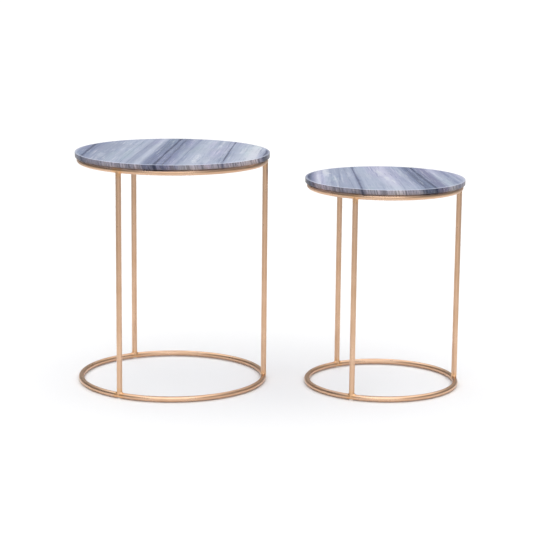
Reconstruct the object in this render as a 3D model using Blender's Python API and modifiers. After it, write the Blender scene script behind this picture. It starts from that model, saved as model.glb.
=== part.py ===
"""A pair of round side tables with stone tops on welded rod frames.

Each table is a stone disc held by screws on three tabs inside a top ring. Three upright legs join
that ring to a closed base ring, which stands on three glides. The large table's base ring is wider
than the small table's stone, so the large table can be set down over the small one.

Axes: +X from the large table to the small one, +Z up, the floor at Z = 0.
"""

import math
from dataclasses import dataclass

import bmesh
import bpy

MM = 0.001


@dataclass(frozen=True)
class Table:
    """The sizes that differ between the two tables."""

    name: str
    height: float
    stone_radius: float
    first_leg_angle: float  # degrees from +X, anticlockwise seen from above
    centre: tuple


# Rod frame
ROD_RADIUS = 6.35 * MM
STONE_OVERHANG = 4.1 * MM  # from the outside of the top ring to the stone's edge

# Stone top
STONE_THICKNESS = 11.2 * MM
STONE_EASE = 1.8 * MM  # rounding of the stone's rims
STONE_LIFT = 1.4 * MM  # open space between the top ring's crown and the stone

# Mounting tabs inside the top ring
TAB_THICKNESS = 3.0 * MM
TAB_WIDTH = 18.0 * MM
TAB_REACH = 30.0 * MM  # from the ring's centre line to the tab's inner end
TAB_DROP = 1.5 * MM  # from the ring's crown down to the tab's upper face
SCREW_INSET = 20.0 * MM  # from the ring's centre line to the screw's axis

# Screws, washers, spacers and inserts
SCREW_RADIUS = 2.5 * MM
SCREW_HEAD_RADIUS = 4.75 * MM
SCREW_HEAD_HEIGHT = 2.8 * MM
SCREW_TIP_CHAMFER = 0.8 * MM
# The head's rounded rim, as (share of the head's radius, share of its height)
SCREW_HEAD_RIM = ((1.0, 0.0), (0.96, 0.35), (0.82, 0.7), (0.55, 1.0))
SOCKET_SIDES = 6
SOCKET_ACROSS_FLATS = 3.0 * MM
SOCKET_DEPTH = 1.8 * MM
THREAD_ENGAGEMENT = 7.0 * MM
WASHER_RADIUS = 6.0 * MM
WASHER_THICKNESS = 1.0 * MM
SPACER_RADIUS = 8.0 * MM
INSERT_WALL = 1.2 * MM
INSERT_LENGTH = 8.0 * MM
INSERT_GROOVE_WIDTH = 1.6 * MM
INSERT_GROOVE_DEPTH = 0.4 * MM

# Glides under the base ring
GLIDE_RADIUS = 5.0 * MM
GLIDE_WEB = 1.2 * MM  # thickness under the rod
GLIDE_LIP = 1.5 * MM  # height of the cradle above the rod's lowest line

# Clearances
FIT_GAP = 0.3 * MM  # between pieces that rest on or are welded to each other
HOLE_CLEARANCE = 0.4 * MM  # around a screw's shank, on the radius

# Placing of the pair
CENTRE_SPACING = 498.6 * MM
SMALL_TABLE_STEP = -29.0 * MM  # the small table's centre along Y, from the large one's

LARGE_HEIGHT = 550.0 * MM
LARGE_STONE_RADIUS = 228.6 * MM
LARGE_LEG_ANGLE = 238.2
SMALL_HEIGHT = 495.5 * MM
SMALL_STONE_RADIUS = 187.2 * MM
SMALL_LEG_ANGLE = 243.7

LEG_NAMES = ("front_leg", "rear_leg", "side_leg")
LEG_STEP = -360.0 / len(LEG_NAMES)

# Facets
RING_SEGMENTS = 60
ROD_SEGMENTS = 12
LEG_SEGMENTS = 20
STONE_SEGMENTS = 72
SMALL_SEGMENTS = 16
NOSE_SEGMENTS = 8  # on the half circle at a tab's inner end
EASE_SEGMENTS = 2
SHARP_EDGE = 35.0  # degrees; edges that turn by more are shaded sharp
OVERCUT = 2.0 * MM  # how far a cutter runs past the face that it opens
WELD_DISTANCE = 0.01 * MM  # vertices closer than this become one


def pair_centres():
    """The tables' centres, with the pair's box centred on the origin."""
    half_length = (LARGE_STONE_RADIUS + CENTRE_SPACING + SMALL_STONE_RADIUS) / 2
    front = min(-LARGE_STONE_RADIUS, SMALL_TABLE_STEP - SMALL_STONE_RADIUS)
    back = max(LARGE_STONE_RADIUS, SMALL_TABLE_STEP + SMALL_STONE_RADIUS)
    shift = -(front + back) / 2
    large = (LARGE_STONE_RADIUS - half_length, shift, 0.0)
    small = (half_length - SMALL_STONE_RADIUS, SMALL_TABLE_STEP + shift, 0.0)
    return large, small


def clear_scene():
    for obj in list(bpy.data.objects):
        bpy.data.objects.remove(obj, do_unlink=True)


def new_collection(name):
    collection = bpy.data.collections.new(name)
    bpy.context.scene.collection.children.link(collection)
    return collection


def finish(name, colour, roughness, metallic=0.0):
    """A Principled material. The colour is linear RGB."""
    material = bpy.data.materials.new(name)
    material.use_nodes = True
    shader = material.node_tree.nodes["Principled BSDF"]
    shader.inputs["Base Color"].default_value = (*colour, 1.0)
    shader.inputs["Roughness"].default_value = roughness
    shader.inputs["Metallic"].default_value = metallic
    return material


def shade_round(mesh):
    mesh.shade_smooth()
    mesh.set_sharp_from_angle(angle=math.radians(SHARP_EDGE))


def settle(obj, name, collection, parent, location=(0, 0, 0), angle=0.0):
    """Names an object, moves it to its collection and places it under its table's empty."""
    obj.name = name
    for holder in list(obj.users_collection):
        holder.objects.unlink(obj)
    collection.objects.link(obj)
    obj.parent = parent
    obj.location = location
    obj.rotation_euler = (0, 0, math.radians(angle))
    return obj


def torus(ring_radius, rod_radius):
    bpy.ops.mesh.primitive_torus_add(
        major_radius=ring_radius,
        minor_radius=rod_radius,
        major_segments=RING_SEGMENTS,
        minor_segments=ROD_SEGMENTS,
    )
    return bpy.context.object


def cylinder(radius, low, high, segments):
    """A closed cylinder on the Z axis, from height low to height high."""
    bpy.ops.mesh.primitive_cylinder_add(radius=radius, depth=high - low, vertices=segments)
    obj = bpy.context.object
    for vertex in obj.data.vertices:
        vertex.co.z += (low + high) / 2
    return obj


def turned(profile, segments):
    """A solid turned on the Z axis from (radius, height) points, listed from top to bottom."""
    mesh = bpy.data.meshes.new("profile")
    points = [(radius, 0, height) for radius, height in profile]
    edges = [(i, i + 1) for i in range(len(points) - 1)]
    has_bore = profile[0][0] > 0
    if has_bore:
        edges.append((len(points) - 1, 0))
    mesh.from_pydata(points, edges, [])
    obj = bpy.data.objects.new("turned", mesh)
    bpy.context.scene.collection.objects.link(obj)
    screw = obj.modifiers.new("turn", "SCREW")
    screw.steps = segments
    screw.render_steps = segments
    screw.use_merge_vertices = True
    screw.merge_threshold = WELD_DISTANCE
    return obj


def flat_plate(outline, thickness):
    """A plate from a closed outline in XY, centred on Z = 0."""
    curve = bpy.data.curves.new("outline", "CURVE")
    curve.dimensions = "2D"
    curve.fill_mode = "BOTH"
    curve.extrude = thickness / 2
    spline = curve.splines.new("POLY")
    spline.points.add(len(outline) - 1)
    for point, (x, y) in zip(spline.points, outline):
        point.co = (x, y, 0, 1)
    spline.use_cyclic_u = True
    guide = bpy.data.objects.new("outline", curve)
    bpy.context.scene.collection.objects.link(guide)
    graph = bpy.context.evaluated_depsgraph_get()
    mesh = bpy.data.meshes.new_from_object(guide.evaluated_get(graph))
    bpy.data.objects.remove(guide, do_unlink=True)
    weld_caps(mesh)
    plate = bpy.data.objects.new("plate", mesh)
    bpy.context.scene.collection.objects.link(plate)
    return plate


def weld_caps(mesh):
    work = bmesh.new()
    work.from_mesh(mesh)
    bmesh.ops.remove_doubles(work, verts=work.verts, dist=WELD_DISTANCE)
    bmesh.ops.recalc_face_normals(work, faces=work.faces)
    work.to_mesh(mesh)
    work.free()


def cut(obj, cutter):
    boolean = obj.modifiers.new(cutter.name, "BOOLEAN")
    boolean.operation = "DIFFERENCE"
    boolean.solver = "EXACT"
    boolean.object = cutter


def polar(radius, angle, height=0.0):
    turn = math.radians(angle)
    return (radius * math.cos(turn), radius * math.sin(turn), height)


class TableBuilder:
    """Builds one table's pieces around its own centre on the floor."""

    def __init__(self, table, pieces, cutters, finishes):
        self.table = table
        self.pieces = pieces
        self.cutters = cutters
        self.finishes = finishes
        self.root = bpy.data.objects.new(f"{table.name}_table", None)
        pieces.objects.link(self.root)
        self.root.location = table.centre

        self.ring_radius = table.stone_radius - STONE_OVERHANG - ROD_RADIUS
        self.base_height = GLIDE_WEB + FIT_GAP + ROD_RADIUS
        self.stone_underside = table.height - STONE_THICKNESS
        self.top_height = self.stone_underside - STONE_LIFT - ROD_RADIUS
        self.tab_top = self.top_height + ROD_RADIUS - TAB_DROP
        self.leg_angles = [table.first_leg_angle + i * LEG_STEP for i in range(len(LEG_NAMES))]
        self.tab_angles = [angle + LEG_STEP / 2 for angle in self.leg_angles]
        self.insert_radius = SCREW_RADIUS + FIT_GAP + INSERT_WALL

    def piece(self, obj, name, finish_name, location=(0, 0, 0), angle=0.0):
        settle(obj, f"{self.table.name}_{name}", self.pieces, self.root, location, angle)
        obj.data.materials.clear()
        obj.data.materials.append(self.finishes[finish_name])
        shade_round(obj.data)
        return obj

    def cutter(self, obj, name, location=(0, 0, 0), angle=0.0):
        settle(obj, f"{self.table.name}_{name}", self.cutters, self.root, location, angle)
        obj.hide_render = True
        obj.display_type = "WIRE"
        return obj

    def rings(self):
        """Both rings, each with a slightly fatter cutter that cope ends are cut with."""
        self.ring_cutters = {}
        for name, height in (("base_ring", self.base_height), ("top_ring", self.top_height)):
            ring = torus(self.ring_radius, ROD_RADIUS)
            self.piece(ring, name, "gold", (0, 0, height), self.table.first_leg_angle)
            coping = torus(self.ring_radius, ROD_RADIUS + FIT_GAP)
            self.ring_cutters[name] = self.cutter(
                coping, f"{name}_coping", (0, 0, height), self.table.first_leg_angle
            )

    def legs(self):
        """Upright rods between the ring centre lines, coped to the rings at both ends."""
        half_facet = 180 / LEG_SEGMENTS
        for name, angle in zip(LEG_NAMES, self.leg_angles):
            rod = cylinder(ROD_RADIUS, self.base_height, self.top_height, LEG_SEGMENTS)
            self.piece(rod, name, "gold", polar(self.ring_radius, angle), angle + half_facet)
            for coping in self.ring_cutters.values():
                cut(rod, coping)

    def stone(self):
        """The stone disc with eased rims and a blind hole for each insert."""
        disc = cylinder(
            self.table.stone_radius, self.stone_underside, self.table.height, STONE_SEGMENTS
        )
        self.piece(disc, "stone_top", "stone")
        ease = disc.modifiers.new("eased rims", "BEVEL")
        ease.width = STONE_EASE
        ease.segments = EASE_SEGMENTS
        ease.limit_method = "ANGLE"
        for number, angle in enumerate(self.tab_angles, start=1):
            hole = cylinder(
                self.insert_radius + FIT_GAP,
                self.stone_underside - OVERCUT,
                self.stone_underside + INSERT_LENGTH + FIT_GAP,
                SMALL_SEGMENTS,
            )
            self.cutter(hole, f"insert_hole_{number}", self.screw_place(angle))
            cut(disc, hole)

    def screw_place(self, angle):
        return polar(self.ring_radius - SCREW_INSET, angle)

    def tab_outline(self):
        """A tongue along -X with a round inner end, its outer end inside the ring's rod."""
        half = TAB_WIDTH / 2
        bend_centre = -TAB_REACH + half
        arc = [math.radians(90 + 180 * i / NOSE_SEGMENTS) for i in range(NOSE_SEGMENTS + 1)]
        nose = [(bend_centre + half * math.cos(a), half * math.sin(a)) for a in arc]
        return [(0.0, half), *nose, (0.0, -half)]

    def tabs(self):
        """Flat tongues welded inside the top ring, each with a clearance hole for its screw."""
        middle = self.tab_top - TAB_THICKNESS / 2
        for number, angle in enumerate(self.tab_angles, start=1):
            tab = flat_plate(self.tab_outline(), TAB_THICKNESS)
            self.piece(tab, f"tab_{number}", "gold", polar(self.ring_radius, angle, middle), angle)
            cut(tab, self.ring_cutters["top_ring"])
            hole = cylinder(
                SCREW_RADIUS + HOLE_CLEARANCE,
                self.tab_top - TAB_THICKNESS - OVERCUT,
                self.tab_top + OVERCUT,
                SMALL_SEGMENTS,
            )
            self.cutter(hole, f"tab_hole_{number}", self.screw_place(angle))
            cut(tab, hole)

    def ring_profile(self, outer, inner, low, high):
        return [(inner, high), (outer, high), (outer, low), (inner, low)]

    def fixings(self):
        """At each tab: a spacer above it, a washer and a screw below it, an insert in the stone."""
        bore = SCREW_RADIUS + HOLE_CLEARANCE
        washer_top = self.tab_top - TAB_THICKNESS - FIT_GAP
        washer_bottom = washer_top - WASHER_THICKNESS
        head_top = washer_bottom - FIT_GAP
        spacer = (SPACER_RADIUS, bore, self.tab_top + FIT_GAP, self.stone_underside - FIT_GAP)
        washer = (WASHER_RADIUS, bore, washer_bottom, washer_top)
        for number, angle in enumerate(self.tab_angles, start=1):
            place = self.screw_place(angle)
            for name, sizes, finish_name in (
                ("spacer", spacer, "rubber"),
                ("washer", washer, "zinc"),
            ):
                ring = turned(self.ring_profile(*sizes), SMALL_SEGMENTS)
                self.piece(ring, f"{name}_{number}", finish_name, place)
            insert = turned(self.insert_profile(), SMALL_SEGMENTS)
            self.piece(insert, f"insert_{number}", "brass", place)
            self.screw(number, place, head_top)

    def insert_profile(self):
        """A threaded insert, flush with the stone's underside, with a groove that keys the glue."""
        outer = self.insert_radius
        inner = SCREW_RADIUS + FIT_GAP
        low = self.stone_underside
        high = low + INSERT_LENGTH
        groove = outer - INSERT_GROOVE_DEPTH
        groove_high = low + (INSERT_LENGTH + INSERT_GROOVE_WIDTH) / 2
        groove_low = low + (INSERT_LENGTH - INSERT_GROOVE_WIDTH) / 2
        return [
            (inner, high),
            (outer, high),
            (outer, groove_high),
            (groove, groove_high - INSERT_GROOVE_DEPTH),
            (groove, groove_low + INSERT_GROOVE_DEPTH),
            (outer, groove_low),
            (outer, low),
            (inner, low),
        ]

    def screw(self, number, place, head_top):
        """A button-head screw, head down, with a hexagon socket."""
        tip = self.stone_underside + THREAD_ENGAGEMENT
        head_bottom = head_top - SCREW_HEAD_HEIGHT
        profile = [
            (0.0, tip),
            (SCREW_RADIUS - SCREW_TIP_CHAMFER, tip),
            (SCREW_RADIUS, tip - SCREW_TIP_CHAMFER),
            (SCREW_RADIUS, head_top),
            *[
                (SCREW_HEAD_RADIUS * out, head_top - SCREW_HEAD_HEIGHT * down)
                for out, down in SCREW_HEAD_RIM
            ],
            (0.0, head_bottom),
        ]
        screw = turned(profile, SMALL_SEGMENTS)
        self.piece(screw, f"screw_{number}", "zinc", place)
        corner_radius = SOCKET_ACROSS_FLATS / 2 / math.cos(math.pi / SOCKET_SIDES)
        socket = cylinder(
            corner_radius, head_bottom - OVERCUT, head_bottom + SOCKET_DEPTH, SOCKET_SIDES
        )
        self.cutter(socket, f"socket_{number}", place)
        cut(screw, socket)

    def glides(self):
        """Round pads that cradle the base ring's rod under each leg."""
        height = GLIDE_WEB + FIT_GAP + GLIDE_LIP
        for number, angle in enumerate(self.leg_angles, start=1):
            pad = cylinder(GLIDE_RADIUS, 0.0, height, SMALL_SEGMENTS)
            self.piece(pad, f"glide_{number}", "glide", polar(self.ring_radius, angle), angle)
            cut(pad, self.ring_cutters["base_ring"])

    def build(self):
        self.rings()
        self.legs()
        self.stone()
        self.tabs()
        self.fixings()
        self.glides()


def main():
    clear_scene()
    pieces = new_collection("nesting_tables")
    cutters = new_collection("cutters")
    finishes = {
        "stone": finish("polished blue-grey marble", (0.36, 0.41, 0.53), 0.18),
        "gold": finish("satin champagne gold", (0.62, 0.39, 0.24), 0.32, metallic=1.0),
        "zinc": finish("zinc-plated steel", (0.55, 0.55, 0.56), 0.3, metallic=1.0),
        "brass": finish("brass", (0.7, 0.5, 0.2), 0.35, metallic=1.0),
        "rubber": finish("black rubber", (0.02, 0.02, 0.02), 0.7),
        "glide": finish("translucent glide plastic", (0.7, 0.7, 0.68), 0.4),
    }
    large_centre, small_centre = pair_centres()
    tables = (
        Table("large", LARGE_HEIGHT, LARGE_STONE_RADIUS, LARGE_LEG_ANGLE, large_centre),
        Table("small", SMALL_HEIGHT, SMALL_STONE_RADIUS, SMALL_LEG_ANGLE, small_centre),
    )
    for table in tables:
        TableBuilder(table, pieces, cutters, finishes).build()


main()
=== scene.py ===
"""The looks of two nesting tables: banded marble tops on satin champagne-gold rod frames.

Each table's pieces are built around its own centre and ride on its CAD body. Sizes and places come
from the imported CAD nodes. Lengths are in metres, except where MARBLES gives places in millimetres.
"""

import math

import bmesh
import bpy
from mathutils import Euler, Matrix, Vector


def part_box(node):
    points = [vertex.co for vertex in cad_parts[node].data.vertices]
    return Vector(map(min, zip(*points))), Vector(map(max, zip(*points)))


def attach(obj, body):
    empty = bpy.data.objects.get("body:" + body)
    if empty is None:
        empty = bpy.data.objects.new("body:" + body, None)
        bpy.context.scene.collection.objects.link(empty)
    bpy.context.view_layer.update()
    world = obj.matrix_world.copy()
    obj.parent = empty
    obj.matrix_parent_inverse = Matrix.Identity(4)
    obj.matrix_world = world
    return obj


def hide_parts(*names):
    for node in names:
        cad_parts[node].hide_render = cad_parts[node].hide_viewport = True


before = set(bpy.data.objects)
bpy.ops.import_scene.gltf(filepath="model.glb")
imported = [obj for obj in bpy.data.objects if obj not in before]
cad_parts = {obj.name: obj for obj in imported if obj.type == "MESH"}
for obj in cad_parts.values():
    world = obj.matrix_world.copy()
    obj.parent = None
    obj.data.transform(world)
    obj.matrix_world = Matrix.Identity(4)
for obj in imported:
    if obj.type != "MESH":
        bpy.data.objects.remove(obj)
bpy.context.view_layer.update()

MM = 0.001
TAU = 2 * math.pi

# Camera, at the photograph's viewing angle
CAMERA_PLACE = (-0.0563, -4.3071, 1.1406)
CAMERA_YAW = 0.787  # degrees to the right of +Y
CAMERA_PITCH = 11.464  # degrees down
CAMERA_ROLL = 0.575
CAMERA_LENS = 123.17  # mm on a 36 mm sensor

# Stage
FLOOR_SIZE = 80.0
FLOOR_COLOUR = (0.95, 0.95, 0.95)
FLOOR_FADE = (0.4, 2.6)  # distances where what is mirrored of the floor starts and stops to fade
FLOOR_FADE_DEPTH = 0.52
# How bright the surround is, as (sine of the height above the horizon, level from 0 to 1)
CEILING = ((0.0, 0.30), (0.12, 0.16), (0.52, 0.18), (0.72, 0.85), (1.0, 1.0))
CEILING_GAIN = 1.85
LEFT_LEVEL = 0.4  # of that towards the left
RIGHT_LEVEL = 0.7
SIDE_EDGE = (0.35, 0.9)  # sines of the angles from the middle where the sides start and are full
# A soft round card above and behind the camera
CARD_HEIGHT = 27.0  # degrees above the horizon
CARD_LEVEL = 0.48
CARD_EDGE = (0.78, 0.93)  # cosines of the angles from its centre where it starts and is full

# Mesh fineness
RIM_SEGMENTS = 288
RING_SEGMENTS = 288
ROD_SEGMENTS = 40
TURNED_SEGMENTS = 48
BED_SEGMENTS = 64  # of the hollow in a glide that the ring lies in

# Stone rims
UPPER_EASE = 1.0 * MM
LOWER_EASE = 1.0 * MM
EASE_STEPS = 6

# Welds between legs and rings, as reaches from the line where the two rods meet
LOW_WELD = {"up_leg": 3.2 * MM, "along_ring": 4.6 * MM}
HIGH_WELD = {"up_leg": 1.8 * MM, "along_ring": 2.4 * MM}
WELD_SIDE = 0.9 * MM  # reach at the sides, where the rods' surfaces are level
WELD_STEPS = 8
WELD_SEGMENTS = 72

TABLES = ("large", "small")
LEGS = ("front_leg", "rear_leg", "side_leg")


# ---------------------------------------------------------------- meshes


def mesh_object(name, vertices, faces, smooth=True):
    mesh = bpy.data.meshes.new(name)
    mesh.from_pydata([tuple(v) for v in vertices], [], faces)
    mesh.validate()
    mesh.update()
    obj = bpy.data.objects.new(name, mesh)
    bpy.context.scene.collection.objects.link(obj)
    if smooth:
        mesh.shade_smooth()
    return obj


def grid_faces(rows, columns, close_rows=False):
    """Quads over rows x columns of vertices that were listed row by row, each row a closed loop."""
    faces = []
    for i in range(rows if close_rows else rows - 1):
        for j in range(columns):
            a, b = i, (i + 1) % rows
            c, d = j, (j + 1) % columns
            faces.append((a * columns + c, a * columns + d, b * columns + d, b * columns + c))
    return faces


def turned(name, profile, segments, closed=False):
    """A body turned on the Z axis from (radius, height) points. closed joins the last to the first.

    Where it isn't closed, both ends are filled with a flat face.
    """
    vertices = []
    for radius, height in profile:
        for k in range(segments):
            turn = TAU * k / segments
            vertices.append((radius * math.cos(turn), radius * math.sin(turn), height))
    faces = grid_faces(len(profile), segments, close_rows=closed)
    if not closed:
        last = (len(profile) - 1) * segments
        faces.append(tuple(range(segments - 1, -1, -1)))
        faces.append(tuple(range(last, last + segments)))
    obj = mesh_object(name, vertices, faces)
    face_outwards(obj)
    return obj


def face_outwards(obj):
    work = bmesh.new()
    work.from_mesh(obj.data)
    bmesh.ops.recalc_face_normals(work, faces=work.faces)
    work.to_mesh(obj.data)
    work.free()


def sharpen(obj, degrees):
    obj.data.shade_smooth()
    obj.data.set_sharp_from_angle(angle=math.radians(degrees))


def bake_modifiers(obj):
    """Replaces an object's mesh with the result of its modifiers."""
    graph = bpy.context.evaluated_depsgraph_get()
    mesh = bpy.data.meshes.new_from_object(obj.evaluated_get(graph))
    obj.modifiers.clear()
    obj.data = mesh


def cut_away(obj, cutters):
    for cutter in cutters:
        boolean = obj.modifiers.new("cut", "BOOLEAN")
        boolean.operation = "DIFFERENCE"
        boolean.solver = "EXACT"
        boolean.object = cutter
    bake_modifiers(obj)
    for cutter in cutters:
        bpy.data.objects.remove(cutter, do_unlink=True)


# ---------------------------------------------------------------- shader graphs


class Graph:
    """One material's node tree. Each method adds a node and returns its output socket."""

    def __init__(self, name):
        self.material = bpy.data.materials.new(name)
        self.material.use_nodes = True
        self.tree = self.material.node_tree
        self.shader = self.tree.nodes["Principled BSDF"]

    def add(self, kind, values=(), **settings):
        node = self.tree.nodes.new(kind)
        for key, value in settings.items():
            setattr(node, key, value)
        for key, value in dict(values).items():
            self.put(node.inputs[key], value)
        return node

    def put(self, socket, value):
        if isinstance(value, bpy.types.NodeSocket):
            self.tree.links.new(value, socket)
        else:
            socket.default_value = value

    def surface(self, **values):
        """Sets the Principled shader's inputs. An underscore in a name stands for a space."""
        for key, value in values.items():
            self.put(self.shader.inputs[key.replace("_", " ")], value)

    def place(self):
        """The point's coordinates on its own piece, which ride with it."""
        return self.add("ShaderNodeTexCoord").outputs["Object"]

    def split(self, vector):
        return self.add("ShaderNodeSeparateXYZ", {"Vector": vector}).outputs

    def join(self, x, y, z):
        return self.add("ShaderNodeCombineXYZ", {"X": x, "Y": y, "Z": z}).outputs["Vector"]

    def stretch(self, vector, scale, shift=(0.0, 0.0, 0.0)):
        values = {"Vector": vector, "Scale": scale, "Location": shift}
        return self.add("ShaderNodeMapping", values).outputs["Vector"]

    def math(self, operation, *values):
        return self.add("ShaderNodeMath", enumerate(values), operation=operation).outputs[0]

    def total(self, *values):
        result = values[0]
        for value in values[1:]:
            result = self.math("ADD", result, value)
        return result

    def noise(self, vector, scale=1.0, detail=3.0, roughness=0.5, distortion=0.0):
        """Noise from 0 to 1, about 0.5 on average."""
        values = {
            "Vector": vector,
            "Scale": scale,
            "Detail": detail,
            "Roughness": roughness,
            "Distortion": distortion,
        }
        return self.add("ShaderNodeTexNoise", values).outputs["Fac"]

    def step(self, value, low, high, to_low=0.0, to_high=1.0, kind="SMOOTHSTEP"):
        """A smooth step from to_low, at or below low, to to_high, at or above high."""
        values = {
            "Value": value,
            "From Min": low,
            "From Max": high,
            "To Min": to_low,
            "To Max": to_high,
        }
        node = self.add("ShaderNodeMapRange", values, interpolation_type=kind)
        return node.outputs["Result"]

    def ramp(self, factor, stops):
        """A colour ramp through (place from 0 to 1, colour) stops."""
        node = self.add("ShaderNodeValToRGB", {"Fac": factor})
        elements = node.color_ramp.elements
        while len(elements) < len(stops):
            elements.new(0.5)
        for element, (place, colour) in zip(elements, sorted(stops)):
            element.position = place
            element.color = (*colour, 1.0)
        return node.outputs["Color"]

    def bands(self, value, half, places):
        """The colours at the given places in millimetres, with value running from -half to half.

        A ramp holds at most 32 stops, so there is one for each side of zero. Both hold the stops
        near zero, so they agree where they meet.
        """
        share = self.step(value, -half, half, kind="LINEAR")
        sides = []
        for sign in (-1, 1):
            stops = []
            for at, tone in places:
                if at * sign > -RAMP_OVERLAP:
                    stops.append(((at * MM + half) / (2 * half), TONES[tone]))
            sides.append(self.ramp(share, stops))
        return self.mix(self.math("GREATER_THAN", value, 0.0), *sides)

    def mix(self, factor, a, b, mode="MIX"):
        """Colour a turning into colour b, or combined with it, as factor goes from 0 to 1."""
        node = self.add("ShaderNodeMix", data_type="RGBA", blend_type=mode)
        for key, value in (("Factor_Float", factor), ("A_Color", a), ("B_Color", b)):
            socket = next(s for s in node.inputs if s.identifier == key)
            self.put(socket, (*value, 1.0) if isinstance(value, tuple) else value)
        return next(s for s in node.outputs if s.identifier == "Result_Color")

    def bump(self, height, distance, strength=1.0):
        """A bump normal from a height that runs from 0 to 1 over that distance in metres."""
        values = {"Height": height, "Distance": distance, "Strength": strength}
        return self.add("ShaderNodeBump", values).outputs["Normal"]


# Marble tones, linear RGB, from light to dark, and then the two purplish ones
TONES = {
    "white": (0.81, 0.85, 0.97),
    "pearl": (0.63, 0.69, 0.85),
    "pale": (0.54, 0.61, 0.78),
    "light": (0.465, 0.530, 0.710),
    "base": (0.405, 0.470, 0.650),
    "grey": (0.345, 0.403, 0.580),
    "blue": (0.280, 0.337, 0.530),
    "steel": (0.198, 0.252, 0.435),
    "slate": (0.138, 0.188, 0.352),
    "deep": (0.078, 0.117, 0.255),
    "night": (0.022, 0.040, 0.135),
    "lilac": (0.355, 0.372, 0.560),
    "violet": (0.203, 0.226, 0.405),
}
WHITE_VEIN = (0.90, 0.93, 1.0)
RAMP_OVERLAP = 12  # millimetres past zero that both of a slab's colour ramps hold
BAND_MARGIN = 12 * MM  # from the stone's edge to the end of its colour ramps
DIP = 0.25  # how far the bands lean sideways for each unit down into the slab
# How the bands wander, from broad to fine: (reach, noise scale on each axis, offset)
WANDERS = (
    (3.5 * MM, (6, 3.4, 4), 0.0),
    (1.4 * MM, (36, 6, 30), 1.7),
    (0.5 * MM, (170, 16, 120), 4.2),
)
SPECK_SCALE = 42.0  # cells of specks for each metre
GRAIN_SCALE = 900.0
ARRIS = (8 * MM, 1 * MM)  # how far in from the stone's edge its painted highlight starts and is full
# how strongly the face is painted paler towards the arris, a painted highlight
ARRIS_HIGHLIGHT = 0.42
STONE_IOR = 1.52
RAGGEDNESS = 4.4  # how strongly noise breaks up a patch's outline
RIM_TINTS_AND_SHADE = ((0.62, 0.51, 0.46), (0.56, 0.42, 0.34))  # of the rim, near its top and its foot: warm tints that also paint shade on it, darker at the foot
HUES = ((1.05, 0.97, 1.04), (0.95, 1.03, 0.97))  # lilac and sage casts, as factors

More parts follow.
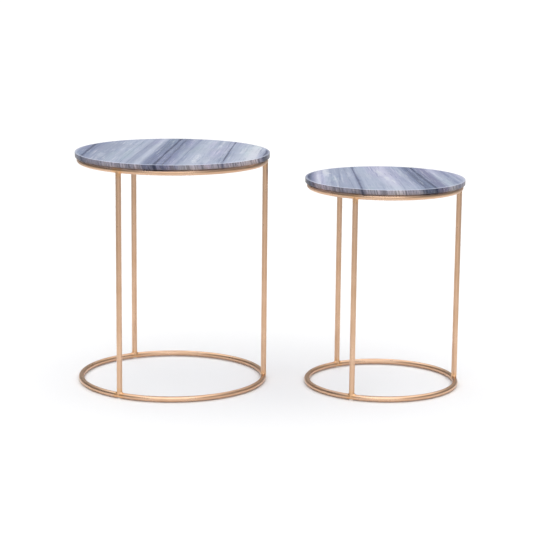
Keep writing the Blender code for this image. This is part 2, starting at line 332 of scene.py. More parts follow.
MARBLES = {
    "large": {
        # how far the bands lean along X for each metre along Y, and how that changes with X
        "lean": 0.105,
        "fan": 0.0,
        "shift": (3.1, 7.4, 0.0),
        # (place across the bands in millimetres from the centre, tone)
        "bands": (
            (-228, "light"), (-220, "blue"), (-208, "steel"), (-197, "steel"), (-189, "steel"),
            (-180, "blue"), (-166, "grey"), (-142, "grey"), (-128, "light"), (-100, "light"),
            (-80, "light"), (-70, "grey"), (-61, "grey"), (-54, "pale"), (-47, "pale"),
            (-41, "grey"), (-36, "steel"), (-25, "slate"), (-17, "steel"), (-1, "steel"),
            (8, "slate"), (16, "steel"), (24, "blue"), (32, "base"), (39, "blue"),
            (46, "base"), (55, "light"), (70, "pale"), (84, "pale"), (92, "base"),
            (103, "pale"), (116, "base"), (128, "light"), (140, "base"), (152, "light"),
            (164, "pale"), (176, "pearl"), (192, "white"), (202, "white"), (210, "pale"),
            (216, "light"), (222, "steel"),
        ),
        # (place, half width, strength, own lean)
        "veins": (
            (-200, 3.6, 0.85, -0.025), (-93, 0.9, 0.30, -0.01), (-73, 1.1, 0.30, 0.01),
            (-10, 3.3, 0.98, 0.0), (7, 2.6, 0.60, -0.01), (39, 1.2, 0.22, 0.01),
            (124, 0.9, 0.30, -0.03), (134, 2.2, 0.80, -0.02), (222, 4.0, 0.85, 0.0),
        ),
        # (place, distance towards the back, half width, half length, strength, tone)
        "patches": (
            (72, -105, 9, 95, 0.85, "white"), (190, -10, 16, 110, 0.75, "white"),
            (103, 110, 4, 80, 0.55, "white"), (-50, 120, 4, 70, 0.45, "white"),
            (166, 10, 6, 70, 0.55, "white"), (-155, -80, 14, 60, 0.45, "pearl"),
            (126, -150, 5, 50, 0.5, "steel"), (205, 120, 14, 60, 0.5, "lilac"),
            (98, -150, 14, 50, 0.60, "pearl"), (150, 120, 9, 60, 0.45, "pearl"),
            (-178, 20, 12, 90, 0.45, "lilac"), (55, 150, 12, 60, 0.40, "grey"),
        ),
    },
    "small": {
        "lean": -0.045,
        "fan": -0.5,
        "shift": (11.7, 2.9, 0.0),
        "bands": (
            (-184, "deep"), (-175, "deep"), (-170, "violet"), (-165, "lilac"), (-157, "pearl"),
            (-148, "light"), (-139, "pale"), (-126, "grey"), (-117, "base"), (-107, "grey"),
            (-98, "base"), (-88, "grey"), (-76, "base"), (-70, "blue"), (-62, "grey"),
            (-55, "light"), (-35, "light"), (-19, "light"), (0, "pearl"), (10, "pearl"),
            (22, "light"), (42, "base"), (49, "light"), (54, "grey"), (59, "blue"),
            (65, "slate"), (73, "deep"), (80, "slate"), (92, "slate"), (97, "violet"),
            (115, "violet"), (121, "grey"), (126, "pale"), (133, "light"), (141, "grey"),
            (154, "blue"), (163, "base"), (170, "grey"), (182, "pale"),
        ),
        "veins": (
            (-68, 2.6, 0.70, 0.0), (-87, 0.9, 0.25, -0.02), (-107, 1.0, 0.25, 0.03),
            (70, 2.4, 0.40, 0.02), (88, 3.3, 1.0, -0.01), (57, 0.9, 0.30, -0.02),
            (-179, 5.0, 0.75, 0.0), (153, 1.2, 0.25, 0.02), (27, 0.8, 0.2, 0.03),
        ),
        "patches": (
            (-139, 70, 12, 70, 0.85, "white"), (-156, -20, 6, 80, 0.6, "white"),
            (-6, 80, 12, 60, 0.7, "white"), (3, -5, 6, 55, 0.75, "white"),
            (12, -65, 6, 50, 0.75, "white"), (-35, 40, 10, 50, 0.4, "pearl"),
            (128, 50, 4, 70, 0.5, "white"), (-127, -80, 9, 50, 0.6, "blue"),
            (-66, -48, 5, 42, 0.7, "slate"), (46, 60, 8, 60, 0.35, "pearl"),
            (-112, 20, 9, 60, 0.60, "blue"), (-96, -70, 8, 45, 0.45, "lilac"),
            (-118, -30, 4, 70, 0.70, "white"), (-84, 60, 6, 60, 0.55, "pearl"),
            (22, 110, 14, 50, 0.45, "grey"), (-20, -110, 16, 50, 0.40, "grey"),
            (40, -40, 10, 60, 0.35, "blue"), (150, 60, 12, 60, 0.35, "steel"),
        ),
    },
}


def marble(table, polished):
    """Banded marble. The bands stand upright in the slab, so they also run down its rim."""
    plan = MARBLES[table.name]
    finish = "polished" if polished else "honed"
    g = Graph(f"{table.name} marble {finish}")
    place = g.place()
    x, y, z = g.split(place)
    depth = g.math("SUBTRACT", z, table.top)
    lean = g.math("MULTIPLY_ADD", x, plan["fan"], plan["lean"])
    across = g.math("SUBTRACT", x, g.math("MULTIPLY", y, lean))
    across = g.math("MULTIPLY_ADD", depth, DIP, across)
    flow = g.join(across, y, depth)

    def field(scale, offset=0.0, **how):
        shift = tuple(part + offset for part in plan["shift"])
        return g.noise(g.stretch(flow, scale, shift), **how)

    def drift(amount, scale, offset):
        return g.math("MULTIPLY", g.math("SUBTRACT", field(scale, offset), 0.5), 2 * amount)

    def away_from(value, at):
        return g.math("ABSOLUTE", g.math("SUBTRACT", value, at))

    bent = g.total(across, *(drift(*wander) for wander in WANDERS))
    colour = g.bands(bent, table.stone_radius + BAND_MARGIN, plan["bands"])

    # Streaks along the bands at three scales, which are strong in some places and faint in others
    broad = field((60, 4, 50), 2.3, detail=4.0, roughness=0.62)
    fine = field((230, 7, 160), 5.1, detail=3.0, roughness=0.6)
    hair = field((420, 15, 300), 7.7, detail=3.0, roughness=0.65)
    busy = g.step(field((14, 7, 12), 17.9, detail=2.0), 0.38, 0.62, 0.35, 1.0)
    streaks = (
        (broad, 0.54, 0.74, 0.44, "pearl"),
        (broad, 0.46, 0.26, 0.38, "steel"),
        (fine, 0.55, 0.70, 0.66, "white"),
        (fine, 0.45, 0.29, 0.74, "steel"),
        (hair, 0.43, 0.28, 0.50, "slate"),
        (hair, 0.57, 0.71, 0.50, "white"),
    )
    for noise, low, high, strength, tone in streaks:
        amount = g.math("MULTIPLY", g.step(noise, low, high, 0.0, strength), busy)
        colour = g.mix(amount, colour, TONES[tone])

    # Slow changes of hue, from lilac to sage
    cast = field((16, 3, 12), 13.3, detail=2.0)
    for (low, high), hue in zip(((0.52, 0.68), (0.48, 0.32)), HUES):
        amount = g.step(cast, low, high, 0.0, 0.9)
        colour = g.mix(amount, colour, g.mix(1.0, colour, hue, "MULTIPLY"))

    # Ragged patches, drawn out along the bands
    cloud = field((85, 17, 50), 8.8, detail=6.0, roughness=0.72, distortion=0.9)
    for at, back, width, length, strength, tone in plan["patches"]:
        side = g.math("DIVIDE", away_from(bent, at * MM), width * MM)
        end = g.math("DIVIDE", away_from(y, back * MM), length * MM)
        reach = g.math("SQRT", g.total(g.math("POWER", side, 2.0), g.math("POWER", end, 2.0)))
        ragged = g.math("MULTIPLY_ADD", cloud, -RAGGEDNESS, g.total(reach, RAGGEDNESS / 2))
        patch = g.step(ragged, 0.85, 0.25, 0.0, strength)
        colour = g.mix(patch, colour, TONES[tone])

    # Dark veins, each with its own wander and a soft halo
    vein_mask = 0.0
    for number, (at, width, strength, own_lean) in enumerate(plan["veins"]):
        wander = drift(1.3 * MM, (14 + number, 3.6, 16), 10.0 + 3.1 * number)
        line = g.total(bent, wander, g.math("MULTIPLY", y, -own_lean), -at * MM)
        swell = field((24, 9, 20), 20.0 + number)
        reach = g.math("MULTIPLY", g.step(swell, 0.30, 0.70, 0.5, 1.4), width * MM)
        away = g.math("DIVIDE", g.math("ABSOLUTE", line), reach)
        core = g.step(away, 0.30, 1.35, strength, 0.0)
        halo = g.step(away, 0.5, 4.0, 0.30 * strength, 0.0)
        colour = g.mix(halo, colour, TONES["slate"])
        colour = g.mix(core, colour, TONES["night"])
        vein_mask = g.math("MAXIMUM", core, vein_mask)

    # Hairline calcite seams that cross the bands, and sparse white specks
    crossing = g.noise(g.stretch(place, (9, 15, 9), plan["shift"]), detail=2.0, distortion=1.4)
    seam = g.step(away_from(crossing, 0.5), 0.0, 0.005, 0.25, 0.0)
    colour = g.mix(seam, colour, WHITE_VEIN)
    cells = g.add("ShaderNodeTexVoronoi", {"Vector": place, "Scale": SPECK_SCALE})
    rare = g.step(g.split(cells.outputs["Color"])[0], 0.80, 0.82)
    dot = g.step(cells.outputs["Distance"], 0.035, 0.085, 0.85, 0.0)
    colour = g.mix(g.math("MULTIPLY", rare, dot), colour, WHITE_VEIN)

    grain = g.noise(place, scale=GRAIN_SCALE, detail=2.0)
    tint = g.step(grain, 0.25, 0.75, 0.94, 1.05)
    colour = g.mix(1.0, colour, g.join(tint, tint, tint), "MULTIPLY")
    if polished:
        # The rim is duller, warmer and streakier than the face, and darker with painted shade that
        # deepens towards its foot; a painted highlight runs along the arris between them
        rim_noise = field((330, 9, 20), 31.0, detail=3.0, roughness=0.65)
        streak = g.step(rim_noise, 0.34, 0.66, 0.52, 1.32)
        thickness = table.top - table.underside
        # painted shade on the rim, deepening from its top to its foot
        foot = g.step(depth, -thickness, -0.4 * thickness, 1.0, 0.0)
        shaded_tints = [g.mix(1.0, colour, rim_shade_tint, "MULTIPLY") for rim_shade_tint in RIM_TINTS_AND_SHADE]
        rim_colour = g.mix(foot, *shaded_tints)
        rim_colour = g.mix(1.0, rim_colour, g.join(streak, streak, streak), "MULTIPLY")
        rim = g.step(depth, -UPPER_EASE * 0.8, -UPPER_EASE * 0.3)
        out = g.math("SQRT", g.total(g.math("POWER", x, 2.0), g.math("POWER", y, 2.0)))
        start, full = (table.stone_radius - reach for reach in ARRIS)
        # A painted highlight: the face turns paler towards the arris
        arris_highlight = g.step(out, start, full, 0.0, ARRIS_HIGHLIGHT)
        face_colour = g.mix(arris_highlight, colour, TONES["white"])
        colour = g.mix(rim, rim_colour, face_colour)
        smear = g.noise(place, scale=9.0, detail=4.0)
        roughness = g.total(
            g.step(smear, 0.3, 0.7, 0.13, 0.22), g.math("MULTIPLY", vein_mask, 0.10)
        )
        height = g.total(g.math("MULTIPLY", grain, 0.4), g.math("MULTIPLY", vein_mask, -0.6))
        g.surface(Normal=g.bump(height, 0.02 * MM))
    else:
        saw = g.noise(g.stretch(place, (4, 700, 4)), detail=2.0)
        roughness = g.step(grain, 0.3, 0.7, 0.55, 0.68)
        height = g.total(g.math("MULTIPLY", saw, 0.7), g.math("MULTIPLY", grain, 0.3))
        g.surface(Normal=g.bump(height, 0.12 * MM))
    g.surface(Base_Color=colour, Roughness=roughness, IOR=STONE_IOR)
    return g.material


# Gold tones, linear RGB
GOLD = (0.76, 0.51, 0.35)
GOLD_DEEP = (0.70, 0.445, 0.280)
WELD_GOLD = (0.78, 0.46, 0.24)


def gold(name, warm=None):
    """Satin champagne-gold plating. warm(g) gives where the welds' heat shows, from 0 to 1."""
    g = Graph(name)
    place = g.place()
    cloud = g.noise(place, scale=14.0, detail=3.0)
    brushed = g.noise(g.stretch(place, (420, 420, 60)), detail=3.0, roughness=0.6)
    pits = g.noise(place, scale=1600.0, detail=1.0)
    colour = g.mix(g.step(cloud, 0.35, 0.70, 0.0, 0.8), GOLD, GOLD_DEEP)
    if warm:
        stain = g.noise(place, scale=160.0, detail=4.0, roughness=0.65)
        heat = g.math("MULTIPLY", warm(g), g.step(stain, 0.30, 0.62, 0.35, 1.0))
        colour = g.mix(heat, colour, WELD_GOLD)
    roughness = g.total(
        g.step(cloud, 0.3, 0.7, 0.27, 0.35), g.step(brushed, 0.3, 0.7, -0.03, 0.04)
    )
    height = g.total(g.math("MULTIPLY", brushed, 0.5), g.math("MULTIPLY", pits, 0.5))
    g.surface(
        Base_Color=colour,
        Metallic=1.0,
        Roughness=roughness,
        Normal=g.bump(height, 0.012 * MM, 0.6),
    )
    return g.material


def zinc():
    g = Graph("zinc plate")
    place = g.place()
    spangle = g.noise(place, scale=700.0, detail=3.0)
    bloom = g.noise(place, scale=130.0, detail=3.0)
    colour = g.mix(g.step(bloom, 0.35, 0.65), (0.62, 0.64, 0.68), (0.50, 0.51, 0.52))
    g.surface(
        Base_Color=colour,
        Metallic=1.0,
        Roughness=g.step(spangle, 0.3, 0.7, 0.26, 0.42),
        Normal=g.bump(spangle, 0.01 * MM),
    )
    return g.material


def brass():
    g = Graph("turned brass")
    place = g.place()
    turning = g.noise(g.stretch(place, (60, 60, 2600)), detail=2.0)
    tarnish = g.noise(place, scale=240.0, detail=3.0)
    colour = g.mix(g.step(tarnish, 0.4, 0.7), (0.78, 0.57, 0.26), (0.52, 0.36, 0.16))
    g.surface(
        Base_Color=colour,
        Metallic=1.0,
        Roughness=g.step(tarnish, 0.3, 0.7, 0.28, 0.45),
        Normal=g.bump(turning, 0.02 * MM),
    )
    return g.material


def rubber():
    g = Graph("black rubber")
    place = g.place()
    grain = g.noise(place, scale=1300.0, detail=2.0)
    dust = g.noise(place, scale=210.0, detail=5.0, roughness=0.65)
    colour = g.mix(g.step(dust, 0.52, 0.80, 0.0, 0.5), (0.018, 0.018, 0.019), (0.09, 0.09, 0.09))
    g.surface(
        Base_Color=colour,
        Roughness=g.step(grain, 0.3, 0.7, 0.62, 0.80),
        Normal=g.bump(grain, 0.03 * MM),
    )
    return g.material


def glide_plastic():
    g = Graph("glide plastic")
    place = g.place()
    grain = g.noise(place, scale=1000.0, detail=2.0)
    scuff = g.noise(g.stretch(place, (500, 500, 90)), detail=4.0, roughness=0.7)
    colour = g.mix(g.step(scuff, 0.55, 0.80, 0.0, 0.6), (0.72, 0.70, 0.66), (0.42, 0.40, 0.37))
    g.surface(
        Base_Color=colour,
        Roughness=g.step(scuff, 0.4, 0.75, 0.34, 0.60),
        Subsurface_Weight=0.2,
        Subsurface_Radius=(0.002, 0.0018, 0.0015),
        Normal=g.bump(grain, 0.02 * MM),
    )
    return g.material


# ---------------------------------------------------------------- the tables


class Table:
    """Places and sizes of one table, read from its CAD nodes."""

    def __init__(self, name):
        self.name = name
        self.body = f"{name}_table"
        low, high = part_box(f"{name}_stone_top")
        self.centre = Vector(((low.x + high.x) / 2, (low.y + high.y) / 2, 0.0))
        self.stone_radius = (high.x - low.x) / 2
        self.underside = low.z
        self.top = high.z
        low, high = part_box(f"{name}_base_ring")
        self.rod = (high.z - low.z) / 2
        self.base_height = (low.z + high.z) / 2
        low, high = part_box(f"{name}_top_ring")
        self.ring_height = (low.z + high.z) / 2
        self.legs = {leg: self.from_centre(f"{name}_{leg}") for leg in LEGS}
        self.ring_radius = sum(p.length for p in self.legs.values()) / len(LEGS)
        self.leg_turns = {leg: math.atan2(p.y, p.x) for leg, p in self.legs.items()}

    def from_centre(self, node):
        """A CAD node's middle in plan, from the table's centre."""
        low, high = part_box(node)
        middle = (low + high) / 2 - self.centre
        return Vector((middle.x, middle.y, 0.0))

    def add(self, obj, material, slot, at=(0.0, 0.0, 0.0), turn=0.0, stands_for=()):
        """Puts a piece in its place on this table, on its body and with its finish."""
        obj.location = self.centre + Vector(at)
        obj.rotation_euler = (0.0, 0.0, turn)
        obj.data.materials.clear()
        obj.data.materials.append(material)
        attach(obj, self.body)
        if stands_for:
            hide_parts(*stands_for)
        return obj


def arc(centre_radius, centre_height, radius, start, end, steps):
    """(radius, height) points on part of a circle, with angles in degrees."""
    points = []
    for k in range(steps + 1):
        turn = math.radians(start + (end - start) * k / steps)
        points.append(
            (centre_radius + radius * math.cos(turn), centre_height + radius * math.sin(turn))
        )
    return points


def stone_top(table):
    """The slab, with rounded rims and a blind hole for each threaded insert."""
    edge = table.stone_radius
    support = 0.4 * MM  # flat strips beside the rims keep the broad faces' shading flat
    profile = [
        (edge - UPPER_EASE - support, table.top),
        *arc(edge - UPPER_EASE, table.top - UPPER_EASE, UPPER_EASE, 90, 0, EASE_STEPS),
        (edge, table.top - UPPER_EASE - support),
        (edge, table.underside + LOWER_EASE + support),
        *arc(edge - LOWER_EASE, table.underside + LOWER_EASE, LOWER_EASE, 0, -90, EASE_STEPS),
        (edge - LOWER_EASE - support, table.underside),
    ]
    slab = turned(f"{table.name}_marble_top", profile, RIM_SEGMENTS)
    cutters = []
    gap = 0.2 * MM
    for number in (1, 2, 3):
        node = f"{table.name}_insert_{number}"
        low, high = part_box(node)
        drill = [
            ((high.x - low.x) / 2 + gap, high.z + gap),
            ((high.x - low.x) / 2 + gap, low.z - MM),
        ]
        cutter = turned("drill", drill, TURNED_SEGMENTS)
        cutter.location = table.from_centre(node)
        cutters.append(cutter)
    cut_away(slab, cutters)
    table.add(slab, marble(table, True), "stone", stands_for=[f"{table.name}_stone_top"])
    slab.data.materials.append(marble(table, False))
    for face in slab.data.polygons:
        inside = math.hypot(face.center.x, face.center.y) < edge - LOWER_EASE
        face.material_index = 1 if inside and face.center.z < table.top - MM else 0
    sharpen(slab, 30)


def rod_ring(table, place, height, material):
    """A closed ring of round rod, with the dressed bump of its butt weld at the back."""
    seam_turn = math.radians(90)
    seam_width = 1.2 * MM
    seam_rise = 0.012  # of the rod's radius
    vertices = []
    for i in range(RING_SEGMENTS):
        turn = TAU * i / RING_SEGMENTS
        away = (turn - seam_turn) * table.ring_radius
        rod = table.rod * (1 + seam_rise * math.exp(-((away / seam_width) ** 2)))
        for j in range(ROD_SEGMENTS):
            round_rod = TAU * j / ROD_SEGMENTS
            radius = table.ring_radius + rod * math.cos(round_rod)
            vertices.append(
                (radius * math.cos(turn), radius * math.sin(turn), rod * math.sin(round_rod))
            )
    faces = grid_faces(RING_SEGMENTS, ROD_SEGMENTS, close_rows=True)
    ring = mesh_object(f"{table.name}_{place}_hoop", vertices, faces)
    face_outwards(ring)
    node = f"{table.name}_{place}_ring"
    return table.add(ring, material, "gold_frame", at=(0, 0, height), stands_for=[node])


def saddle(table, out, along):
    """The ring's surface height above its centre line, below a point beside a leg's axis."""
    radius = math.hypot(table.ring_radius + out, along)
    offset = radius - table.ring_radius
    return math.sqrt(max(table.rod**2 - offset**2, 0.0))


def leg_rod(table, leg, material):
    """An upright rod between the rings, its ends coped to their round."""
    sink = 0.3 * MM  # the coped ends reach this far into the rings
    span = table.ring_height - table.base_height
    rows = 12
    vertices = []
    for i in range(rows + 1):
        for j in range(ROD_SEGMENTS):
            turn = TAU * j / ROD_SEGMENTS
            out, along = table.rod * math.cos(turn), table.rod * math.sin(turn)
            cope = max(saddle(table, out, along) - sink, 0.0)
            vertices.append((out, along, cope + (span - 2 * cope) * i / rows))
    faces = grid_faces(rows + 1, ROD_SEGMENTS)
    last = rows * ROD_SEGMENTS
    faces.append(tuple(range(ROD_SEGMENTS - 1, -1, -1)))
    faces.append(tuple(range(last, last + ROD_SEGMENTS)))
    rod = mesh_object(f"{table.name}_{leg}_rod", vertices, faces)
    sharpen(rod, 60)
    place = table.legs[leg] + Vector((0, 0, table.base_height))
    turn = table.leg_turns[leg]
    node = f"{table.name}_{leg}"
    return table.add(rod, material, "gold_frame", at=place, turn=turn, stands_for=[node])


def weld(table, leg, end, material):
    """The dressed fillet weld round one end of a leg, a closed band over both rods."""
    sizes, up, height = {
        "low": (LOW_WELD, 1, table.base_height),
        "high": (HIGH_WELD, -1, table.ring_height),
    }[end]
    skin = 0.06 * MM  # how far the band's edges sink into the rods
    bulge = 0.35 * MM
    hollow = 0.70  # how far the fillet is pulled from a straight slope towards the corner
    root = 1.5 * MM  # how far the band's hidden inner edge reaches into the joint
    vertices = []
    for i in range(WELD_SEGMENTS):
        turn = TAU * i / WELD_SEGMENTS
        ripple = 1 + 0.05 * math.sin(9 * turn + len(leg)) + 0.04 * math.sin(14 * turn + 1.3)
        crotch = math.sin(turn) ** 2  # 1 along the ring, 0 towards and away from its centre
        out, along = table.rod * math.cos(turn), table.rod * math.sin(turn)
        meet = Vector((out, along, saddle(table, out, along)))
        rise = ripple * (sizes["up_leg"] * crotch + WELD_SIDE * (1 - crotch))
        inward = (table.rod - skin) / table.rod
        on_leg = Vector((out * inward, along * inward, meet.z + rise))
        # the foot runs along the ring, and a little round the rod at the sides
        reach = ripple * sizes["along_ring"] * crotch
        foot_along = along * (1 + reach / table.rod)
        round_rod = math.acos(max(-1.0, min(1.0, math.cos(turn))))
        tilt = (math.pi / 2 - round_rod) * (1 + WELD_SIDE / table.rod / (math.pi / 2))
        foot_out = (table.rod - skin) * math.sin(tilt)
        foot_height = (table.rod - skin) * math.cos(tilt)
        sweep = foot_along / table.ring_radius
        radius = table.ring_radius + foot_out
        on_ring = Vector(
            (
                radius * math.cos(sweep) - table.ring_radius,
                radius * math.sin(sweep),
                foot_height,
            )
        )
        proud = Vector((math.cos(turn), math.sin(turn), 0.0)) * bulge
        middle = (on_leg + on_ring) / 2
        pull = middle.lerp(meet, hollow) + proud
        for k in range(WELD_STEPS + 1):
            t = k / WELD_STEPS
            vertices.append(on_leg.lerp(pull, t).lerp(pull.lerp(on_ring, t), t))
        vertices.append(meet - proud * 5 - Vector((0, 0, root)))
    columns = WELD_STEPS + 2
    faces = grid_faces(WELD_SEGMENTS, columns, close_rows=True)
    for vertex in vertices:
        vertex.z *= up
    band = mesh_object(f"{table.name}_{leg}_weld_{end}", vertices, faces)
    face_outwards(band)
    sharpen(band, 70)
    place = table.legs[leg] + Vector((0, 0, height))
    return table.add(band, material, "gold_frame", at=place, turn=table.leg_turns[leg])


def eased_copy(table, node, name, width):
    """A CAD node's shape with its sharp edges slightly rounded, about the table's centre."""
    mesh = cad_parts[node].data.copy()
    mesh.name = name
    obj = bpy.data.objects.new(name, mesh)
    bpy.context.scene.collection.objects.link(obj)
    work = bmesh.new()
    work.from_mesh(mesh)
    bmesh.ops.remove_doubles(work, verts=work.verts, dist=0.005 * MM)
    bmesh.ops.dissolve_limit(
        work, angle_limit=math.radians(1), verts=work.verts, edges=work.edges
    )
    bmesh.ops.translate(work, verts=work.verts, vec=-table.centre)
    work.to_mesh(mesh)
    work.free()
    ease = obj.modifiers.new("ease", "BEVEL")
    ease.width = width
    ease.segments = 2
    ease.limit_method = "ANGLE"
    ease.angle_limit = math.radians(40)
    bake_modifiers(obj)
    sharpen(obj, 40)
    return obj


def tab(table, number, material):
    node = f"{table.name}_tab_{number}"
    plate = eased_copy(table, node, f"{table.name}_mounting_tab_{number}", 0.4 * MM)
    return table.add(plate, material, "gold_frame", stands_for=[node])


# Fixings. The bore and shank are the M5 sizes that the CAD fixings have.
SHANK_RADIUS = 2.5 * MM
BORE_RADIUS = 2.9 * MM
THREAD_PITCH = 0.8 * MM
THREAD_DEPTH = 0.35 * MM
THREAD_ROWS = 6  # rows of vertices for each turn of the thread
SOCKET_RADIUS = 1.73 * MM
SOCKET_SIDES = 6
SOCKET_DEPTH = 1.8 * MM
HEAD_HEIGHT = 2.8 * MM
HEAD_RIM = ((1.0, 0.0), (1.0, 0.10), (0.985, 0.30), (0.93, 0.55), (0.84, 0.75), (0.70, 0.90))
HEAD_FACE = 0.55  # the flat round the socket, as a share of the head's radius


def collar(table, kind, number, title, material, slot, bore, ease):
    """A washer or spacer: a flat ring with eased rims."""
    node = f"{table.name}_{kind}_{number}"
    low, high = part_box(node)
    outer = (high.x - low.x) / 2
    profile = [
        *arc(outer - ease, high.z - ease, ease, 90, 0, 3),
        *arc(outer - ease, low.z + ease, ease, 0, -90, 3),
        *arc(bore + ease, low.z + ease, ease, 270, 180, 3),
        *arc(bore + ease, high.z - ease, ease, 180, 90, 3),
    ]
    ring = turned(f"{table.name}_{title}_{number}", profile, TURNED_SEGMENTS, closed=True)
    sharpen(ring, 50)
    place = table.from_centre(node)
    return table.add(ring, material, slot, at=place, stands_for=[node])


def insert(table, number, material):
    """The threaded insert's sleeve, with the groove that holds it in its glue."""
    node = f"{table.name}_insert_{number}"
    low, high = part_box(node)
    outer = (high.x - low.x) / 2
    bore = BORE_RADIUS - 0.1 * MM
    ease = 0.15 * MM
    middle = (low.z + high.z) / 2
    half_groove, depth = 0.8 * MM, 0.4 * MM
    profile = [
        (bore + ease, high.z),
        *arc(outer - ease, high.z - ease, ease, 90, 0, 2),
        (outer, middle + half_groove),
        (outer - depth, middle + half_groove - depth),
        (outer - depth, middle - half_groove + depth),
        (outer, middle - half_groove),
        *arc(outer - ease, low.z + ease, ease, 0, -90, 2),
        (bore + ease, low.z),
        (bore, low.z + ease),
        (bore, high.z - ease),
    ]
    sleeve = turned(f"{table.name}_sleeve_{number}", profile, TURNED_SEGMENTS, closed=True)
    sharpen(sleeve, 35)
    place = table.from_centre(node)
    return table.add(sleeve, material, "insert_brass", at=place, stands_for=[node])


def screw(table, number, material):
    """A button-head screw, head down, with a cut thread and a hexagon socket."""
    node = f"{table.name}_screw_{number}"
    low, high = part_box(node)
    head = (high.x - low.x) / 2
    head_top = low.z + HEAD_HEIGHT
    rows = []
    turns = (high.z - head_top) / THREAD_PITCH
    steps = int(turns * THREAD_ROWS)
    for i in range(steps + 1):
        z = high.z - (high.z - head_top) * i / steps
        point = min(1.0, (high.z - z) / THREAD_PITCH * 0.6 + 0.55)
        row = []
        for k in range(TURNED_SEGMENTS):
            turn = TAU * k / TURNED_SEGMENTS
            phase = (z / THREAD_PITCH - k / TURNED_SEGMENTS) % 1.0
            crest = abs(2 * phase - 1)
            radius = min(SHANK_RADIUS * point, SHANK_RADIUS - THREAD_DEPTH * (1 - crest))
            row.append((radius * math.cos(turn), radius * math.sin(turn), z))
        rows.append(row)
    outline = [(head * out, head_top - HEAD_HEIGHT * down) for out, down in HEAD_RIM]
    outline.append((head * HEAD_FACE, low.z))
    for radius, z in outline:
        row = []
        for k in range(TURNED_SEGMENTS):
            turn = TAU * k / TURNED_SEGMENTS
            row.append((radius * math.cos(turn), radius * math.sin(turn), z))
        rows.append(row)
    vertices = [point for row in rows for point in row]
    faces = grid_faces(len(rows), TURNED_SEGMENTS)
    last = (len(rows) - 1) * TURNED_SEGMENTS
    faces.append(tuple(range(TURNED_SEGMENTS - 1, -1, -1)))
    faces.append(tuple(range(last, last + TURNED_SEGMENTS)))
    body = mesh_object(f"{table.name}_button_screw_{number}", vertices, faces)
    face_outwards(body)
    recess = [(SOCKET_RADIUS, low.z + SOCKET_DEPTH), (SOCKET_RADIUS, low.z - MM)]
    socket = turned("socket", recess, SOCKET_SIDES)
    cut_away(body, [socket])
    sharpen(body, 40)
    place = table.from_centre(node)
    return table.add(body, material, "zinc_steel", at=place, stands_for=[node])


def glide(table, number, leg, material):
    """A moulded pad that cradles the base ring under a leg."""
    node = f"{table.name}_glide_{number}"
    low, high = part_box(node)
    outer = (high.x - low.x) / 2
    profile = [
        (outer - 0.5 * MM, high.z),
        *arc(outer - 0.3 * MM, high.z - 0.3 * MM, 0.3 * MM, 90, 0, 3),
        (outer, low.z + 0.8 * MM),
        *arc(outer - 0.6 * MM, low.z + 0.6 * MM, 0.6 * MM, 0, -90, 4),
        (outer - 1.4 * MM, low.z),
        (outer - 1.7 * MM, low.z + 0.25 * MM),
    ]
    pad = turned(f"{table.name}_glide_pad_{number}", profile, TURNED_SEGMENTS)
    cradle = table.rod + 0.1 * MM
    bed = turned("bed", [(cradle, 2 * outer), (cradle, -2 * outer)], BED_SEGMENTS)
    bed.rotation_euler = (math.pi / 2, 0.0, 0.0)
    bed.location = (0.0, 0.0, table.base_height)
    cut_away(pad, [bed])
    sharpen(pad, 40)
    place = table.legs[leg]
    turn = table.leg_turns[leg]
    return table.add(pad, material, "glide_plastic", at=place, turn=turn, stands_for=[node])


# Where the welds' heat shows: how far it is full and how far it reaches
RING_HEAT = (2.0, 4.4)  # degrees round the ring from a leg
LEG_HEAT = (9 * MM, 22 * MM)  # from the ring's centre line


def ring_heat(table):
    """Where a ring was heated, close to its three legs, which stand equally spaced."""
    first = table.leg_turns[LEGS[0]]

    def warm(g):
        x, y, _ = g.split(g.place())
        turn = g.math("SUBTRACT", g.math("ARCTAN2", y, x), first)
        near = g.math("COSINE", g.math("MULTIPLY", turn, 3.0))
        full, end = (math.cos(3 * math.radians(degrees)) for degrees in RING_HEAT)
        return g.step(near, end, full)

    return warm


def leg_heat(table):
    """Where a leg was heated, close to both its ends."""
    span = table.ring_height - table.base_height
    full, end = LEG_HEAT

    def warm(g):
        z = g.split(g.place())[2]
        low = g.step(z, full, end, 1.0, 0.0)
        high = g.step(z, span - end, span - full)
        return g.math("MAXIMUM", low, high)

    return warm


def build(name, finishes):
    table = Table(name)
    hoop_gold = gold(f"{name} hoop gold", ring_heat(table))
    leg_gold = gold(f"{name} leg gold", leg_heat(table))
    stone_top(table)
    rod_ring(table, "base", table.base_height, hoop_gold)
    rod_ring(table, "top", table.ring_height, hoop_gold)
    for number, leg in enumerate(LEGS, start=1):
        leg_rod(table, leg, leg_gold)
        weld(table, leg, "low", finishes["weld"])
        weld(table, leg, "high", finishes["weld"])
        glide(table, number, leg, finishes["glide"])
        tab(table, number, finishes["gold"])
        collar(
            table, "spacer", number, "pad", finishes["rubber"], "spacer_rubber", BORE_RADIUS,
            0.3 * MM,
        )
        collar(
            table, "washer", number, "flat_washer", finishes["zinc"], "zinc_steel", BORE_RADIUS,
            0.15 * MM,
        )
        insert(table, number, finishes["brass"])
        screw(table, number, finishes["zinc"])


# ---------------------------------------------------------------- stage, light and camera


def floor():
    """A pale floor. What the rods mirror of it falls off with distance, as on a small sweep."""
    half = FLOOR_SIZE / 2
    corners = [(-half, -half, 0), (half, -half, 0), (half, half, 0), (-half, half, 0)]
    obj = mesh_object("floor", corners, [(0, 1, 2, 3)], smooth=False)
    g = Graph("pale floor")
    x, y, _ = g.split(g.place())
    distance = g.math("SQRT", g.math("ADD", g.math("POWER", x, 2.0), g.math("POWER", y, 2.0)))
    mirrored = g.add("ShaderNodeLightPath").outputs["Is Glossy Ray"]
    dim = g.math("MULTIPLY", mirrored, g.step(distance, *FLOOR_FADE, 0.0, FLOOR_FADE_DEPTH))
    colour = g.mix(dim, FLOOR_COLOUR, (0.0, 0.0, 0.0))
    g.surface(Base_Color=colour, Roughness=0.9)
    obj.data.materials.append(g.material)


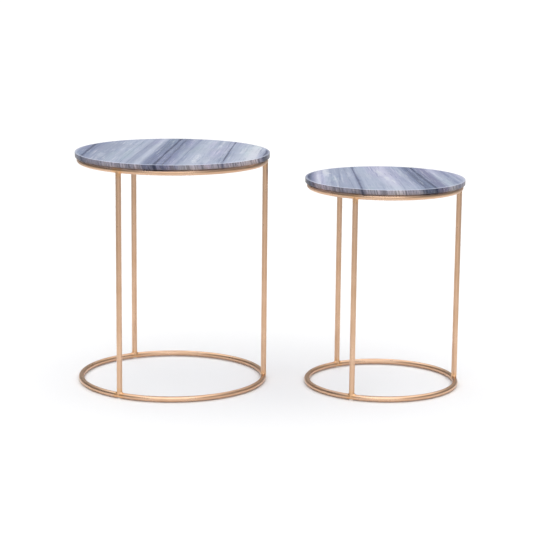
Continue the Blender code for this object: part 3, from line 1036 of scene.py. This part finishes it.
def studio():
    """Light from a broad bright ceiling and a soft card behind the camera, over a dim horizon.

    The camera itself sees plain white beyond the floor's edge.
    """
    world = bpy.data.worlds.new("studio")
    bpy.context.scene.world = world
    world.use_nodes = True
    tree = world.node_tree
    background = tree.nodes["Background"]

    def node(kind, *values, **settings):
        made = tree.nodes.new(kind)
        for key, value in settings.items():
            setattr(made, key, value)
        for socket, value in zip(made.inputs, values):
            if isinstance(value, bpy.types.NodeSocket):
                tree.links.new(value, socket)
            else:
                socket.default_value = value
        return made

    def math_node(operation, *values):
        return node("ShaderNodeMath", *values, operation=operation).outputs[0]

    def step(*values):
        return node("ShaderNodeMapRange", *values, interpolation_type="SMOOTHSTEP").outputs[0]

    direction = node("ShaderNodeTexCoord").outputs["Generated"]
    x, _, z = node("ShaderNodeSeparateXYZ", direction).outputs
    curve = node("ShaderNodeValToRGB", z)
    elements = curve.color_ramp.elements
    while len(elements) < len(CEILING):
        elements.new(0.5)
    for element, (height, level) in zip(elements, CEILING):
        element.position = height
        element.color = (level, level, level, 1.0)
    start, full = SIDE_EDGE
    left = step(x, -full, -start, LEFT_LEVEL, 1.0)
    right = step(x, start, full, 1.0, RIGHT_LEVEL)
    level = math_node("MULTIPLY", math_node("MULTIPLY", left, right), curve.outputs[0])
    height = math.radians(CARD_HEIGHT)
    aim = (0.0, -math.cos(height), math.sin(height))
    near = node("ShaderNodeVectorMath", direction, aim, operation="DOT_PRODUCT").outputs["Value"]
    card = step(near, *CARD_EDGE, 0.0, CARD_LEVEL)
    lit = math_node("MULTIPLY", math_node("ADD", level, card), CEILING_GAIN)
    seen = node("ShaderNodeLightPath").outputs["Is Camera Ray"]
    unseen = math_node("SUBTRACT", 1.0, seen)
    tree.links.new(math_node("MULTIPLY_ADD", lit, unseen, seen), background.inputs["Strength"])
    background.inputs["Color"].default_value = (1.0, 1.0, 1.0, 1.0)


def camera():
    data = bpy.data.cameras.new("camera")
    data.sensor_width = 36.0
    data.lens = CAMERA_LENS
    data.clip_end = 200.0
    obj = bpy.data.objects.new("camera", data)
    aim = Euler((math.radians(90 - CAMERA_PITCH), 0.0, -math.radians(CAMERA_YAW))).to_matrix()
    turn = aim @ Matrix.Rotation(math.radians(CAMERA_ROLL), 3, "Z")
    obj.matrix_world = Matrix.Translation(CAMERA_PLACE) @ turn.to_4x4()
    bpy.context.scene.collection.objects.link(obj)
    bpy.context.scene.camera = obj


finishes = {
    "gold": gold("frame gold"),
    "weld": gold("weld gold", lambda g: 1.0),
    "zinc": zinc(),
    "brass": brass(),
    "rubber": rubber(),
    "glide": glide_plastic(),
}
for name in TABLES:
    build(name, finishes)
floor()
studio()
camera()
bpy.context.scene.view_settings.view_transform = "Standard"
